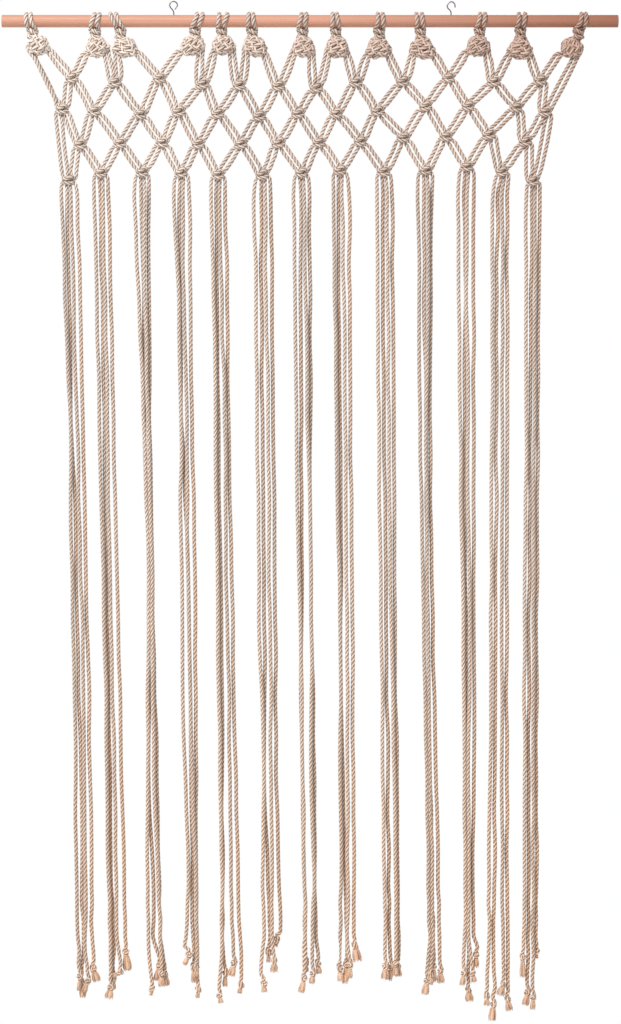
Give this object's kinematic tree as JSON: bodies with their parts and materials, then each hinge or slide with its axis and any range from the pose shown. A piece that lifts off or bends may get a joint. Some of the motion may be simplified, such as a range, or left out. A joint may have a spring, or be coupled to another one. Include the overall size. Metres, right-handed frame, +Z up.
{
  "type": "macrame wall hanging on a wooden dowel",
  "caption": "Macrame wall hanging: cotton rope looped over a wooden dowel, tied in a net of diamonds, with long straight fringe tails and screw eyes to hang it by.",
  "frame": {"origin": "middle of the dowel's axis", "axes": "+X along the dowel, to the right as seen from the front; +Z up; the front of the hanging faces -Y"},
  "size_m": [1, 0.0336, 1.6559],
  "materials": {
    "beech": "sanded, unvarnished",
    "zinc": "zinc plated wire",
    "cotton": "twisted cotton rope, matt"
  },
  "bodies": {
    "root": {"dowel": "beech", "screw_eye_left": "zinc", "screw_eye_right": "zinc", "net": "cotton", "tail_01": "cotton", "tail_02": "cotton", "tail_03": "cotton", "tail_04": "cotton", "tail_05": "cotton", "tail_06": "cotton", "tail_07": "cotton", "tail_08": "cotton", "tail_09": "cotton", "tail_10": "cotton", "tail_11": "cotton", "tail_12": "cotton", "tail_13": "cotton"}
  },
  "joints": []
}
